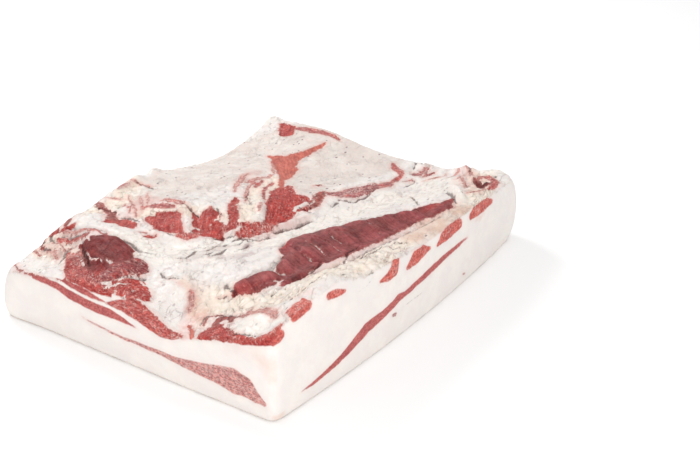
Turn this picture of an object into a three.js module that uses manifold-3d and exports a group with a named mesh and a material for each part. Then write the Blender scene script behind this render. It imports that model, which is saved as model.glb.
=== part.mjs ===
// A boned and squared slab of pork belly, lying rind down with its trimmed inner side up.
// One solid: four knife-cut sides, an uneven top where the ribs and lining were pulled off, a flat rind.
// Millimetres, +Z up, X along the long sides, Y along the short ones.
// The origin is under the middle, on the resting face.
import * as THREE from "three";
import { mergeVertices } from "three/addons/utils/BufferGeometryUtils.js";
import Module from "manifold-3d";

const wasm = await Module();
wasm.setup();

// Driving dimensions.
const LENGTH = 380;
const WIDTH = 292;
const COLUMNS = 46;
const ROWS = 36;
const LEVELS = 8;

// Thickness along each side at evenly spaced places, from its end at low X or Y to its other end.
const THICKNESS = {
  shortFront: [69, 57, 60, 58, 45],
  shortBack: [63, 54, 52, 60, 56],
  longFront: [69, 83, 76, 73, 63],
  longBack: [45, 59, 61, 46, 56],
};

// Corner radii in plan.
const CORNERS = { nearLow: 6, nearHigh: 9, farLow: 11, farHigh: 8 };

// How far each side bows out (positive) or in (negative) in plan, half way along it.
const BOW = { longFront: 10, longBack: -1, shortFront: 1, shortBack: -4 };
const BACK_HOLLOW = { x: 112, half: 62, depth: 5 };

// How far each side swells out half way up, and how far its lower and upper edges are rounded in.
const SWELL = { longFront: 1.5, longBack: 3, shortFront: 1.5, shortBack: 8 };
const LOWER_ROUND = { longFront: 3, longBack: 1.5, shortFront: 2, shortBack: 8 };
const UPPER_ROUND = { longFront: 1.5, longBack: 3, shortFront: 1.5, shortBack: 3 };
const LOWER_REACH = 0.2; // share of the height over which the lower edge is rounded
const UPPER_REACH = 0.15; // share of the height over which the upper edge is rounded
const SIDE_BAND = 14; // how far in from a side its swell and rounding reach
const MERGE_GAP = 1e-3; // points closer than this are one
const UNDERCUT = 2; // how far the block is made below the resting face before it is cut flat

// How strongly the grid lines crowd towards the sides and towards the upper and lower edges.
const PLAN_CROWDING = 0.3;
const LEVEL_CROWDING = 0.6;

// Ridges and hollows of the top: a spine in plan, the half width and the rise at its middle.
const RELIEF = [
  { spine: [[-174, -150], [-118, -140]], half: 24, rise: 16 }, // hump by the near corner
  { spine: [[-196, -56], [-172, -46]], half: 20, rise: -11 }, // dip in the short cut side
  { spine: [[-192, -12], [-176, 22]], half: 17, rise: 5 }, // shoulder of the flank muscle
  { spine: [[-158, 42], [-118, 118]], half: 27, rise: 11 }, // the large round muscle
  { spine: [[-166, 68], [-143, 112]], half: 7, rise: -6 }, // crease on its outer side
  { spine: [[-98, 40], [-84, 150]], half: 12, rise: -4 }, // furrow on its inner side
  { spine: [[-74, 136], [-10, 138]], half: 24, rise: 6 }, // fold of fat on the long back side
  { spine: [[-104, 28], [-52, -22], [20, -40], [110, -62], [176, -66]], half: 17, rise: -7 }, // long valley
  { spine: [[-60, 84], [-34, 16], [52, 8], [112, -34]], half: 20, rise: 5 }, // bank of the rib muscles
  { spine: [[-126, -66], [-28, -74], [36, -92], [112, -118]], half: 19, rise: 5 }, // skirt muscle
  { spine: [[-128, -84], [-30, -106], [60, -124]], half: 9, rise: -4 }, // furrow under the skirt muscle
  { spine: [[-138, -8], [-176, -58]], half: 12, rise: 5 }, // rib of fat across the near end
  { spine: [[-164, -104], [-150, -112]], half: 16, rise: 4 }, // lobe of fat by the near corner
  { spine: [[62, 44], [140, 70]], half: 30, rise: 3 }, // low swell of the lining
  { spine: [[150, -100], [176, -128]], half: 16, rise: 4 }, // torn knob by the far corner
];

const toSigned = (share) => 2 * share - 1;
const toShare = (signed) => (signed + 1) / 2;

// A smooth curve through evenly spaced values, read at a share from 0 to 1.
function along(values, share) {
  const at = THREE.MathUtils.clamp(share, 0, 1) * (values.length - 1);
  const i = Math.min(Math.floor(at), values.length - 2);
  const t = at - i;
  const before = values[Math.max(i - 1, 0)];
  const after = values[Math.min(i + 2, values.length - 1)];
  const slopeIn = (values[i + 1] - before) / 2;
  const slopeOut = (after - values[i]) / 2;
  const step = values[i + 1] - values[i];
  const bend = 3 * step - 2 * slopeIn - slopeOut;
  const twist = slopeIn + slopeOut - 2 * step;
  return values[i] + t * (slopeIn + t * (bend + t * twist));
}

// The shortest distance from a point of the plan to a spine.
function distanceTo(spine, x, y) {
  const gaps = spine.slice(1).map(([x1, y1], i) => {
    const [x0, y0] = spine[i];
    const [dx, dy] = [x1 - x0, y1 - y0];
    const t = THREE.MathUtils.clamp(((x - x0) * dx + (y - y0) * dy) / (dx * dx + dy * dy), 0, 1);
    return Math.hypot(x - x0 - t * dx, y - y0 - t * dy);
  });
  return Math.min(...gaps);
}

// A smooth bump: 1 in the middle, falling away over the half width.
const bell = (gap, half) => Math.exp(-((gap / half) ** 2));

function reliefAt(x, y) {
  return RELIEF.reduce((sum, ridge) => sum + ridge.rise * bell(distanceTo(ridge.spine, x, y), ridge.half), 0);
}

// The top's height: a patch hung between the four sides' thicknesses, with the ridges and hollows on it.
function topHeight(x, y) {
  const s = THREE.MathUtils.clamp(toShare(x / (LENGTH / 2)), 0, 1);
  const t = THREE.MathUtils.clamp(toShare(y / (WIDTH / 2)), 0, 1);
  const { shortFront, shortBack, longFront, longBack } = THICKNESS;
  const across = (1 - s) * along(shortFront, t) + s * along(shortBack, t);
  const lengthways = (1 - t) * along(longFront, s) + t * along(longBack, s);
  const low = (1 - s) * longFront[0] + s * longFront.at(-1);
  const high = (1 - s) * longBack[0] + s * longBack.at(-1);
  return across + lengthways - (1 - t) * low - t * high + reliefAt(x, y);
}

// Rounds a corner of the plan: the square of side radius at the corner becomes a quarter disc.
function roundCorner(x, y) {
  const radius = CORNERS[(x < 0 ? "near" : "far") + (y < 0 ? "Low" : "High")];
  const px = Math.abs(x) - (LENGTH / 2 - radius);
  const py = Math.abs(y) - (WIDTH / 2 - radius);
  if (px <= 0 || py <= 0) return [x, y];
  const shrink = Math.max(px, py) / Math.hypot(px, py);
  return [
    Math.sign(x) * (LENGTH / 2 - radius + px * shrink),
    Math.sign(y) * (WIDTH / 2 - radius + py * shrink),
  ];
}

// How far a point at this level is moved out of a side: rounded in at both edges, swollen half way up.
function sideShift(side, level) {
  const lower = LOWER_ROUND[side] * (1 - Math.min(level / LOWER_REACH, 1)) ** 2;
  const upper = UPPER_ROUND[side] * (1 - Math.min((1 - level) / UPPER_REACH, 1)) ** 2;
  return SWELL[side] * Math.sin(Math.PI * level) - lower - upper;
}

// Where a point of the unit block goes: a and b from -1 to 1 across the plan, level from 0 to 1 up.
function place(a, b, level) {
  const [x, y] = roundCorner((a * LENGTH) / 2, (b * WIDTH) / 2);
  const long = b < 0 ? "longFront" : "longBack";
  const short = a < 0 ? "shortFront" : "shortBack";
  const gapLong = ((1 - Math.abs(b)) * WIDTH) / 2;
  const gapShort = ((1 - Math.abs(a)) * LENGTH) / 2;
  const hollow = b > 0 ? BACK_HOLLOW.depth * bell(x - BACK_HOLLOW.x, BACK_HOLLOW.half) : 0;
  const bowLong = Math.abs(b) * (BOW[long] * (1 - a * a) - hollow);
  const bowShort = Math.abs(a) * BOW[short] * (1 - b * b);
  const px = x + Math.sign(a) * (bowShort + bell(gapShort, SIDE_BAND) * sideShift(short, level));
  const py = y + Math.sign(b) * (bowLong + bell(gapLong, SIDE_BAND) * sideShift(long, level));
  return [px, py, -UNDERCUT + level * (topHeight(px, py) + UNDERCUT)];
}

// Grid lines drawn closer together towards both ends of a run from 0 to 1.
const crowded = (share, pull) => share - (pull * Math.sin(2 * Math.PI * share)) / (2 * Math.PI);

function solidOf(geometry) {
  const bare = new THREE.BufferGeometry();
  bare.setAttribute("position", geometry.toNonIndexed().getAttribute("position"));
  const merged = mergeVertices(bare, MERGE_GAP);
  const mesh = new wasm.Mesh({
    numProp: 3,
    vertProperties: new Float32Array(merged.getAttribute("position").array),
    triVerts: new Uint32Array(merged.index.array),
  });
  return new wasm.Manifold(mesh);
}

function geometryOf(solid) {
  const { vertProperties, triVerts } = solid.getMesh();
  const geometry = new THREE.BufferGeometry();
  geometry.setAttribute("position", new THREE.BufferAttribute(new Float32Array(vertProperties), 3));
  geometry.setIndex(new THREE.BufferAttribute(new Uint32Array(triVerts), 1));
  return geometry;
}

function makeBlock() {
  const block = new THREE.BoxGeometry(1, 1, 1, COLUMNS, ROWS, LEVELS);
  const at = block.getAttribute("position");
  for (let i = 0; i < at.count; i++) {
    const a = toSigned(crowded(at.getX(i) + 0.5, PLAN_CROWDING));
    const b = toSigned(crowded(at.getY(i) + 0.5, PLAN_CROWDING));
    const level = crowded(at.getZ(i) + 0.5, LEVEL_CROWDING);
    at.setXYZ(i, ...place(a, b, level));
  }
  return block;
}

// The block, with what lies below the resting face cut away.
function makeSlab() {
  const table = new THREE.BoxGeometry(2 * LENGTH, 2 * WIDTH, 2 * UNDERCUT).translate(0, 0, -UNDERCUT);
  const slab = geometryOf(solidOf(makeBlock()).subtract(solidOf(table)));
  slab.computeBoundingBox();
  const middle = slab.boundingBox.getCenter(new THREE.Vector3());
  slab.translate(-middle.x, -middle.y, 0);
  slab.computeVertexNormals();
  return slab;
}

const fat = new THREE.MeshStandardMaterial({ color: 0xeedfd6, roughness: 0.5, metalness: 0 });
const slab = new THREE.Mesh(makeSlab(), fat);
slab.name = "slab";

const porkBelly = new THREE.Group();
porkBelly.add(slab);

export default porkBelly;
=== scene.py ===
"""A boned and squared slab of raw pork belly, rind down, with its trimmed inner side up.

The belly is one solid. Its surface is shaped from named muscles, folds and furrows, and painted with what each one is,
with painted shade in its furrows, folds and hollows and painted highlights and sheen on the lean.
Plan positions and half widths are in millimetres in the slab's own frame: X along the long sides, Y along the short
ones.
"""

import math

import bpy
import numpy as np
from mathutils import Euler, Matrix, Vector, noise


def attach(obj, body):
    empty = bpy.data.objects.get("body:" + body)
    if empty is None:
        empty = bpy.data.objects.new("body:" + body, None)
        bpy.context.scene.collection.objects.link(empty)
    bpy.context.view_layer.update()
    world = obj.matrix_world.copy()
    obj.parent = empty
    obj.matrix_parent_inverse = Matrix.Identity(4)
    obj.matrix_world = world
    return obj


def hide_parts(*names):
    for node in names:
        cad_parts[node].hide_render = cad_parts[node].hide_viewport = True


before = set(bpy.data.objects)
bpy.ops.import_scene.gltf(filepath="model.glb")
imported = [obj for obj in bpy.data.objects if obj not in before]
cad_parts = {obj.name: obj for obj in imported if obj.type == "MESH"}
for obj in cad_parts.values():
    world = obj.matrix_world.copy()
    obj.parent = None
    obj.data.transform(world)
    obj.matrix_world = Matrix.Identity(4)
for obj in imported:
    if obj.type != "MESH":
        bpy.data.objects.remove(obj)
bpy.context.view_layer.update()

bl_info = {
    "name": "Pork belly slab",
    "version": (1, 0, 0),
    "blender": (4, 5, 0),
    "location": "3D View > Sidebar > Belly",
    "description": "Builds a boned and squared slab of raw pork belly",
    "category": "Object",
}

MM = 0.001
NODE = "slab"

# What the lean is like: the colour that names it, how much white runs through it, how far it stands up,
# and the heading of its fibres in degrees, or none where they follow the stroke that draws it.
LEAN_KINDS = {
    "wine": {"colour": "wine", "marble": 0.05, "rise": 2.4, "flow": 78},
    "core": {"colour": "core", "marble": 0.0, "rise": 1.8, "flow": 78},
    "lobe": {"colour": "skirt", "marble": 0.45, "rise": 1.8, "flow": 110},
    "skirt": {"colour": "skirt", "marble": 0.08, "rise": 2.6, "flow": 74},
    "shade": {"colour": "shade", "marble": 0.0, "rise": 2.4, "flow": 74},
    "veil_and_sheen": {"colour": "veil_and_sheen", "marble": 0.2, "rise": 1.6, "flow": 74},
    "brown": {"colour": "brown", "marble": 0.35, "rise": 0.2, "flow": None},
    "red": {"colour": "red", "marble": 0.38, "rise": -0.9, "flow": 32},
    "laced": {"colour": "red", "marble": 0.72, "rise": 0.3, "flow": 50},
    "rim": {"colour": "red", "marble": 0.45, "rise": 0.9, "flow": None},
    "coral": {"colour": "coral", "marble": 0.12, "rise": -0.3, "flow": 42},
    "flank": {"colour": "flank", "marble": 0.62, "rise": 0.3, "flow": None},
    "oval": {"colour": "oval", "marble": 0.5, "rise": 0.0, "flow": 60},
    "pink": {"colour": "pink", "marble": 0.5, "rise": -0.3, "flow": None},
    "streak": {"colour": "streak", "marble": 0.15, "rise": 0.0, "flow": None},
    "netted": {"colour": "netted", "marble": 1.0, "rise": 0.0, "flow": None},
    "faint": {"colour": "faint", "marble": 0.8, "rise": 0.4, "flow": None},
    "mauve": {"colour": "mauve", "marble": 0.7, "rise": -0.2, "flow": None},
}

# Lean that shows on the top: kind, then a spine of X, Y and half width.
TOP_LEAN = [
    # The large round muscle by the near end.
    ("wine", [(-148, 96, 5), (-150, 86, 9), (-149, 74, 13), (-148, 62, 15), (-150, 53, 14)]),
    ("wine", [(-151, 50, 12), (-157, 42, 10)]),
    ("wine", [(-160, 78, 4), (-166, 66, 7), (-172, 56, 8), (-176, 48, 7)]),
    ("core", [(-157, 70, 4), (-159, 58, 6), (-162, 48, 4)]),
    ("core", [(-150, 88, 4), (-143, 81, 3.5)]),
    ("lobe", [(-185, 42, 6), (-177, 36, 9), (-167, 32, 10), (-156, 27, 9)]),
    ("lobe", [(-158, 22, 7), (-156, 19, 4)]),
    ("rim", [(-158, 105, 1.5), (-166, 97, 3), (-175, 87, 5), (-183, 74, 7), (-188, 62, 6), (-191, 50, 4.5),
             (-192, 34, 3), (-192, 22, 2)]),
    ("laced", [(-166, 90, 2), (-173, 79, 4), (-179, 68, 5), (-184, 56, 6), (-185, 46, 6)]),
    ("core", [(-158, 88, 2), (-166, 76, 2.5), (-173, 65, 3.5), (-179, 55, 3)]),
    ("faint", [(-161, 99, 3), (-157, 92, 3), (-162, 86, 2)]),
    ("lobe", [(-168, 96, 1.5), (-163, 92, 2.5), (-168, 86, 3)]),
    ("rim", [(-189, 14, 4), (-182, 16, 8), (-174, 14, 7.5)]),
    ("faint", [(-187, 66, 1), (-190, 54, 1.2), (-190, 40, 0.8)]),
    ("faint", [(-178, 80, 0.8), (-184, 70, 1), (-187, 60, 0.6)]),
    ("rim", [(-190, 24, 3), (-184, 24, 4)]),
    ("rim", [(-176, 9, 5), (-175, 2, 5)]),
    ("rim", [(-188, 5, 5), (-181, 0, 7), (-184, -5, 4)]),
    ("rim", [(-193, 5, 3), (-193, -30, 2), (-192, -48, 1.5)]),
    ("pink", [(-146, 128, 1.5), (-143, 112, 2), (-142, 98, 2)]),
    ("faint", [(-138, 130, 1.5), (-136, 112, 2), (-135, 94, 3)]),
    ("pink", [(-135, 98, 2.5), (-134, 84, 3.5), (-136, 76, 2)]),
    ("pink", [(-147, 125, 3.4), (-142, 121, 2.2)]),
    ("red", [(-143, 150, 3), (-137, 144, 4.5), (-130, 147, 3)]),
    ("red", [(-138, 140, 2), (-132, 134, 4), (-127, 128, 3)]),
    ("brown", [(-126, 138, 3), (-118, 144, 4), (-110, 149, 2)]),
    ("brown", [(-193, 104, 0.8), (-191, 122, 1), (-188, 136, 1.3), (-181, 148, 1)]),
    ("faint", [(-168, 108, 1), (-162, 117, 1.6), (-160, 128, 1.2)]),
    ("faint", [(-155, 112, 1), (-151, 121, 1.5), (-152, 131, 1)]),
    ("brown", [(-157, 136, 0.8), (-152, 143, 1.3), (-147, 149, 0.8)]),
    ("pink", [(-164, 132, 0.6), (-160, 140, 1.2), (-158, 149, 0.8)]),
    ("faint", [(-149, 104, 1), (-151, 112, 1.2)]),
    # Strips by the long back side.
    ("mauve", [(-58, 141, 1), (-50, 142, 2), (-43, 139, 1.2)]),
    ("faint", [(-38, 141, 0.8), (-34, 133, 1.4), (-34, 124, 0.8)]),
    ("faint", [(-75, 143, 1), (-71, 134, 1.6), (-68, 126, 0.8)]),
    ("faint", [(-84, 101, 0.8), (-76, 110, 1.2), (-73, 118, 0.6)]),
    ("faint", [(-86, 92, 0.8), (-80, 98, 1.4), (-76, 104, 0.6)]),
    ("red", [(-110, 99, 7), (-103, 96, 9), (-104, 86, 9), (-106, 79, 4)]),
    ("brown", [(-102, 106, 4.6), (-95, 113, 4.2), (-90, 123, 3.4), (-85, 135, 2.8), (-83, 143, 2)]),
    ("brown", [(-91, 112, 1), (-88, 122, 1.2), (-85, 128, 0.6)]),
    ("red", [(-113, 58, 1), (-107, 55, 2.8), (-102, 54, 1)]),
    ("pink", [(-110, 67, 1), (-106, 61, 1.3)]),
    # Muscles that lay between the ribs, with the streaks that run up from them under the lining.
    ("red", [(-86, 77, 4.5), (-83, 68, 9), (-78, 60, 9), (-74, 58, 7)]),
    ("red", [(-90, 64, 4), (-89, 54, 5), (-86, 46, 5)]),
    ("red", [(-81, 50, 5), (-86, 42, 4)]),
    ("laced", [(-90, 38, 3.5), (-88, 32, 4.5), (-82, 26, 4)]),
    ("pink", [(-74, 91, 1.5), (-69, 82, 3.5), (-65, 73, 4), (-63, 67, 2)]),
    ("faint", [(-60, 84, 1.5), (-57, 72, 2.2), (-55, 63, 2), (-59, 54, 1.2)]),
    ("faint", [(-77, 92, 1.4), (-66, 104, 1.6), (-56, 114, 0.8)]),
    ("faint", [(-69, 92, 1.2), (-57, 104, 1.3), (-46, 114, 0.6)]),
    ("faint", [(-74, 106, 1.4), (-66, 118, 1.2), (-60, 125, 0.6)]),
    ("red", [(-77, 30, 4), (-68, 33, 8), (-60, 30, 9), (-53, 32, 8), (-48, 36, 3)]),
    ("red", [(-66, 40, 4), (-62, 46, 2), (-59, 51, 0.8)]),
    ("red", [(-73, 22, 6), (-68, 15, 6.5), (-70, 9, 3)]),
    ("red", [(-62, 22, 6), (-60, 17, 4)]),
    ("red", [(-61, 10, 2.4), (-54, 9, 4.8), (-47, 12, 5), (-38, 20, 4.5), (-28, 28, 4), (-18, 35, 3.5),
             (-9, 41, 1.2)]),
    ("laced", [(-49, 7, 3.4), (-44, 0, 4)]),
    ("laced", [(-58, -2, 3.5), (-50, -5, 6.5), (-41, -8, 7), (-32, -12, 6), (-24, -13, 4.5)]),
    ("red", [(-20, -9, 6.5), (-10, -6, 9), (2, 0, 12), (14, 6, 12), (26, 12, 11), (36, 17, 7), (43, 19, 3)]),
    ("red", [(-12, -14, 4), (0, -11, 6), (14, -4, 7), (28, 0, 9), (35, -4, 5)]),
    ("red", [(20, 20, 5), (32, 24, 4), (38, 25, 2)]),
    ("laced", [(13, -11, 2), (20, -15, 3), (27, -14, 2)]),
    ("faint", [(-21, 5, 1.5), (-10, 10, 1.2)]),
    ("pink", [(0, 14, 0.8), (8, 22, 1.4), (18, 30, 1.8), (30, 35, 2), (44, 38, 1.4)]),
    ("faint", [(-14, 27, 0.6), (-2, 34, 1.4), (8, 42, 1.6), (22, 49, 2), (34, 53, 1.5)]),
    ("pink", [(24, 43, 2), (32, 47, 2.6), (40, 48, 1.6)]),
    ("faint", [(2, 50, 1), (12, 57, 2), (24, 63, 3), (36, 68, 3), (48, 73, 1.4)]),
    ("faint", [(26, 57, 2), (38, 56, 3), (50, 50, 2.4), (60, 51, 1.4)]),
    ("brown", [(24, -17, 1.5), (32, -18, 2.4), (42, -15, 3.2), (52, -11, 3.6), (58, -9, 2.4)]),
    ("brown", [(32, -12, 1.2), (42, -9, 1.4), (54, -7, 1.2)]),
    ("mauve", [(60, -13, 2.5), (68, -22, 5), (78, -27, 6.5), (90, -31, 6), (100, -34, 4.5), (110, -39, 3.2),
               (121, -41, 3)]),
    ("pink", [(120, -41, 2.6), (134, -39, 2.6), (147, -38, 2.4), (152, -31, 3), (156, -24, 3.5), (162, -19, 2.6),
              (166, -16, 1)]),
    # The fan of muscle under the lining, and the band by the back corner.
    ("coral", [(54, 36, 3), (68, 42, 7), (84, 54, 11), (97, 67, 12), (102, 80, 5), (103, 91, 1)]),
    ("coral", [(97, 62, 10), (112, 63, 7), (126, 60, 4.5), (144, 58, 3), (157, 59, 1)]),
    ("coral", [(54, 36, 3), (45, 30, 3), (38, 24, 3)]),
    ("faint", [(62, 51, 0.8), (72, 60, 1.6), (86, 72, 1.2)]),
    ("red", [(155, 106, 7), (165, 113, 9), (174, 126, 3)]),
    ("pink", [(170, 102, 4), (171, 86, 6), (173, 72, 4.5), (174, 62, 3), (171, 53, 2)]),
    # The skirt muscle along the middle.
    ("skirt", [(-139, -63, 3.5), (-133, -65, 7), (-124, -70, 10), (-113, -76, 9.5), (-106, -79, 8)]),
    ("skirt", [(-99, -82, 9), (-92, -86, 15), (-80, -86, 16)]),
    ("skirt", [(-108, -94, 6), (-96, -95, 8)]),
    ("skirt", [(-78, -85, 16), (-66, -82, 22), (-52, -79, 30), (-36, -81, 30), (-18, -87, 26), (-2, -94, 23),
               (12, -99, 19), (27, -104, 14.5), (42, -109, 12)]),
    ("skirt", [(42, -109, 12), (56, -115, 11), (68, -122, 10), (78, -126, 7.5), (92, -127, 2.5)]),
    # Strokes of the skirt muscle's pale film; they are partly painted sheen, lighter where the wet film gleams.
    ("veil_and_sheen", [(-128, -66, 2), (-116, -71, 3.5), (-108, -75, 2)]),
    ("veil_and_sheen", [(-93, -77, 3), (-80, -75, 4.5), (-70, -70, 2)]),
    ("veil_and_sheen", [(-60, -100, 1.5), (-54, -84, 2.5), (-51, -70, 1.5)]),
    ("veil_and_sheen", [(-100, -88, 2), (-88, -92, 3.5), (-76, -94, 2)]),
    ("veil_and_sheen", [(-46, -51, 4), (-30, -56, 6), (-14, -62, 6), (0, -71, 4)]),
    ("shade", [(-26, -80, 6), (-10, -88, 8), (10, -92, 7), (24, -95, 4)]),
    ("rim", [(60, -113, 3), (72, -121, 5.5), (86, -126, 1.5)]),
    ("rim", [(-70, -62, 3), (-60, -55, 4.5), (-50, -50, 3)]),
    ("rim", [(-140, -64, 3.5), (-133, -69, 5), (-124, -74, 3)]),
    ("faint", [(-52, -49, 1.0), (-30, -53, 1.7), (-10, -61, 1.7), (8, -72, 1.0)]),
    # Muscle round the near corner.
    ("rim", [(-190, -72, 3), (-186, -76, 8), (-184, -84, 8), (-187, -92, 6), (-189, -102, 4), (-191, -114, 3),
             (-192, -122, 2)]),
    ("rim", [(-180, -73, 4), (-178, -77, 4)]),
    ("rim", [(-189, -69, 4), (-182, -70, 4.5)]),
    ("brown", [(-175, -71, 3), (-170, -70, 4), (-166, -74, 3.5), (-165, -82, 3), (-170, -83, 2)]),
    ("brown", [(-177, -60, 1.2), (-170, -58, 1.6), (-165, -60, 0.8)]),
    ("brown", [(-166, -61, 1), (-164, -68, 1.4)]),
    ("coral", [(-191, -60, 1.6), (-186, -55, 2.6), (-181, -48, 1.4)]),
    ("faint", [(-164, -37, 1.2), (-159, -33, 2.6), (-154, -29, 1.4)]),
    ("faint", [(-170, -40, 0.8), (-166, -37, 1.4)]),
    ("faint", [(-163, -86, 2.4), (-159, -95, 4), (-158, -107, 4.6), (-161, -118, 4), (-168, -127, 2)]),
    ("faint", [(-160, -92, 1.6), (-154, -90, 1.2), (-149, -89, 0.6)]),
    ("oval", [(-192, -122, 2.5), (-191, -132, 4), (-187, -139, 4), (-182, -142, 3)]),
    ("oval", [(-168, -141, 3), (-162, -136, 4), (-152, -141, 4.5)]),
    # Torn ends by the far corner and the far side.
    ("core", [(156, -114, 1.5), (151, -119, 4), (147, -126, 5), (153, -129, 3)]),
    ("pink", [(158, -117, 2), (163, -126, 2.5), (158, -134, 3)]),
    ("pink", [(118, -130, 2.4), (132, -133, 3.4), (146, -137, 3.6), (158, -136, 4)]),
    ("faint", [(139, -113, 1.5), (148, -104, 1.8), (154, -98, 1)]),
    ("faint", [(160, -108, 1.5), (170, -100, 1.8), (182, -90, 1.2)]),
    ("mauve", [(158, -45, 2), (166, -48, 2.8), (174, -50, 1.8)]),
    ("mauve", [(139, -46, 0.8), (148, -49, 1.4)]),
    ("pink", [(160, -51, 0.8), (167, -54, 2.2), (173, -58, 1.2)]),
    ("faint", [(152, -60, 0.8), (163, -66, 1.6), (172, -72, 0.8)]),
    ("faint", [(164, -80, 0.8), (174, -84, 1.6), (183, -80, 0.8)]),
    ("mauve", [(150, -96, 0.8), (160, -98, 1.4), (168, -94, 0.8)]),
    ("wine", [(63, 5, 1), (68, 2, 2)]),
]

# White strings and partitions that cross the lean on the top, and one painted highlight on the skirt muscle.
TOP_STRINGS = [
    [(-158, 84, 0.3), (-163, 75, 0.5), (-167, 67, 0.7), (-169, 60, 0.9), (-168, 56, 0.8), (-173, 49, 0.3)],
    [(-192, 31, 0.5), (-187, 27, 0.9), (-183, 22, 1.1), (-180, 16, 0.5)],
    [(-181, 28, 0.5), (-174, 26, 0.8), (-168, 22, 0.9), (-165, 14, 0.8)],
    [(-170, 16, 0.5), (-169, 8, 0.9)],
    [(-184, 8, 0.3), (-193, 9, 0.5)],
    [(-146, 101, 1.0), (-144, 94, 0.8), (-147, 87, 0.4)],
    [(-90, 112, 0.8), (-92, 102, 1.1), (-90, 92, 1.1), (-92, 81, 1)],
    [(-77, 41, 0.6), (-73, 44, 1.1), (-68, 49, 1.5), (-60, 58, 2)],
    [(-84, 36, 0.8), (-78, 34, 1.0), (-75, 28, 0.8)],
    [(-64, 24, 0.5), (-56, 24, 0.9), (-49, 27, 0.6)],
    [(-57, 15, 1.2), (-51, 17, 1.1)],
    [(-46, 6, 2.4), (-43, 5, 2)],
    [(-62, -6, 0.8), (-57, -12, 1), (-50, -17, 1)],
    [(-36, 0, 3), (-29, -3, 3), (-25, -4, 2)],
    [(10, -11, 1.6), (16, -9, 1.8), (23, -10, 1.8), (30, -9, 1)],
    [(-173, -73, 0.6), (-172, -79, 1.0), (-174, -84, 0.5)],
    [(-178, -64, 0.8), (-172, -63, 0.8)],
    [(-103, -71, 0.9), (-101, -79, 0.8), (-97, -86, 0.3)],
    # Painted highlight: this short white string stands in for wet glints on the skirt muscle.
    [(-118, -79, 0.5), (-110, -84, 0.7)],
    [(-67, -102, 0.5), (-70, -90, 0.6), (-66, -78, 0.4)],
    [(-30, -92, 0.4), (-27, -82, 0.7), (-21, -72, 0.6), (-16, -66, 0.3)],
    [(-17, -76, 0.3), (-12, -84, 0.5), (-11, -93, 0.3)],
    [(-58, -99, 0.2), (-51, -82, 0.5), (-48, -66, 0.2)],
    [(-43, -101, 0.2), (-38, -84, 0.4), (-37, -70, 0.2)],
    [(5, -109, 0.2), (12, -97, 0.4), (15, -86, 0.2)],
    [(114, -115, 3), (106, -124, 6), (98, -133, 6)],
]

# Lean that shows on the cut sides: a spine of the place along the side, the height and the half width.
NEAR_SIDE_LEAN = [
    ("streak", [(127, 49, 0.6), (115, 50.5, 2.2), (100, 51, 2.5), (85, 51, 3), (70, 48, 4), (55, 46, 4.3),
                (40, 45.5, 4.3), (25, 45.3, 4.2), (12, 44.3, 2.8), (2, 43, 1.2), (-5, 42, 0.4)]),
    ("streak", [(91, 57.2, 0.4), (78, 57.8, 1.5), (68, 57, 2.5), (55, 56, 3), (45, 55, 2.4), (36, 54.2, 1.3), (29, 54, 0.4)]),
    ("flank", [(-49, 47.5, 1), (-40, 46, 3.8), (-30, 48, 6), (-20, 52, 8), (-8, 56.5, 8.5), (2, 57, 7), (12, 56.5, 5),
             (20, 55, 3), (28, 53, 0.6)]),
    ("rim", [(24, 62, 2.5), (36, 62.5, 4), (50, 63, 4.5), (65, 63.5, 4), (80, 64, 3), (92, 63.5, 1.5)]),
    ("red", [(-143, 79, 6), (-133, 75, 5.5), (-122, 70, 4), (-110, 65.5, 3), (-98, 62.3, 2.3), (-84, 60, 2.4),
             (-70, 56.5, 2.6), (-58, 53, 1.8), (-48, 50.5, 1)]),
    ("brown", [(-100, 69, 0.5), (-85, 64, 1.1), (-70, 60, 1.2), (-60, 57, 0.5)]),
    ("netted", [(-132, 17, 2.5), (-124, 21, 6), (-114, 27, 10), (-104, 28, 12), (-94, 28, 10), (-82, 27.5, 8),
                (-70, 26.5, 6), (-58, 26.2, 4.5), (-45, 26.2, 3), (-30, 26.7, 2.2), (-10, 26.8, 1.8), (10, 26.9, 1.4),
                (30, 28, 1), (45, 29.3, 0.8), (57, 31, 0.4)]),
]
LONG_SIDE_LEAN = [
    ("streak", [(-162, 16.5, 0.4), (-148, 17.5, 1.8), (-132, 19.5, 2.6), (-118, 22.5, 3.2), (-105, 26.5, 4), (-93, 31, 5),
                (-82, 35, 5.5), (-72, 36, 5), (-58, 37, 4.2), (-45, 39.5, 4), (-36, 42, 4), (-26, 41.5, 2.8), (-12, 43, 3),
                (2, 44.5, 3), (18, 45.8, 3.3), (35, 47.5, 3), (52, 48, 2.4), (66, 48.3, 2), (80, 48.3, 0.6)]),
    ("oval", [(-193, 74, 4), (-184, 78, 4.5)]),
    ("oval", [(-168, 85, 3), (-160, 87, 4), (-151, 89, 4)]),
    ("oval", [(-127, 86, 3.4), (-118, 84.5, 3.6), (-108, 82, 1.5)]),
    ("oval", [(-61, 69.5, 1.5), (-50, 68.5, 4.2), (-41, 71, 6), (-37, 78, 5)]),
    ("oval", [(-22, 64, 2), (-9, 68, 6.5), (4, 69, 5), (14, 67, 1.5)]),
    ("oval", [(26, 64, 1.5), (36, 67, 5), (50, 68, 6), (66, 67.5, 4.5)]),
    ("oval", [(87, 66, 3.5), (98, 67, 6), (112, 66.5, 6.5), (129, 63, 2.5)]),
    ("mauve", [(-44, 29.5, 1.2), (-40, 28.5, 1.8)]),
    ("faint", [(75, 13, 1), (79, 11, 1)]),
]
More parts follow.
